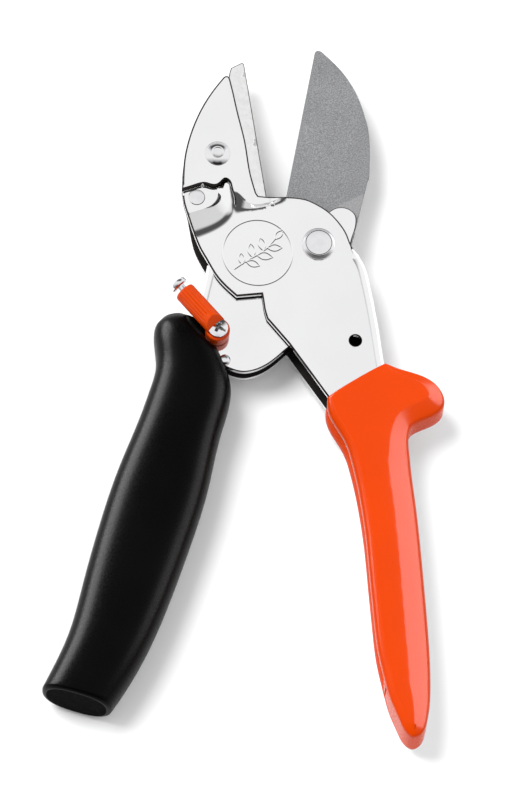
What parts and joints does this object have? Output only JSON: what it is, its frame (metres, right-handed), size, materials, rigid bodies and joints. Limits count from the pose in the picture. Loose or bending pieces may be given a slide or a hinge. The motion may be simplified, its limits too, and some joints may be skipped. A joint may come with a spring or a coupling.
{
  "type": "anvil pruner",
  "caption": "Hand pruner with a folded sheet-steel body, flat anvil jaw, coated straight blade on a sprung lever, dipped thumb-rest handle, soft grip and swinging strut lock.",
  "frame": {"origin": "on the pivot's axis, at the flat underside of the pivot nut and bolt end, which the tool lies on", "axes": "+Y from the handles towards the jaws, +Z out of the front face along the pivot's axis, +X towards the blade's side"},
  "size_m": [0.1152, 0.2133, 0.0215],
  "materials": {
    "chromed_sheet": "bright plated, polished",
    "handle_skin": "glossy dipped PVC",
    "anvil_steel": "satin ground",
    "plated_fastener": "bright plated",
    "blade_coat": "fine speckled non-stick coating",
    "grip_black": "soft-touch matte",
    "lock_orange": "moulded, ribbed",
    "spring_steel": "oiled wire",
    "bearing_brass": "turned",
    "spring_seat_plastic": "moulded nylon"
  },
  "bodies": {
    "anvil_body": {"anvil_body_shell": "chromed_sheet", "handle_coating": "handle_skin", "anvil": "anvil_steel", "anvil_rivet": "plated_fastener", "jaw_rivet": "chromed_sheet", "pivot_bolt": "plated_fastener", "pivot_nut": "plated_fastener", "pivot_washer": "plated_fastener", "spring_cup": "spring_seat_plastic", "opening_spring": "spring_steel"},
    "lever": {"lever_frame": "chromed_sheet", "blade": "blade_coat", "blade_rivets": "plated_fastener", "pivot_bush": "bearing_brass", "grip": "grip_black", "lever_rivet": "plated_fastener", "spring_button": "spring_seat_plastic", "lock_screw": "plated_fastener", "lock_washer": "plated_fastener", "lock_nut": "plated_fastener"},
    "lock": {"lock_lever": "lock_orange", "lock_stud": "plated_fastener"}
  },
  "joints": [
    {"name": "lever_pivot", "type": "hinge", "parent": "anvil_body", "child": "lever", "pos_m": [0, 0, 0.0097], "axis": [0, 0, 1], "range_deg": [0, 19.3], "stiffness_Nm_per_rad": 1.2, "springref_deg": -20.05, "deforming": ["opening_spring"]},
    {"name": "lock_pivot", "type": "hinge", "parent": "lever", "child": "lock", "pos_m": [-0.029, -0.0274, 0.0185], "axis": [0, 0, -1], "range_deg": [0, 56]}
  ]
}
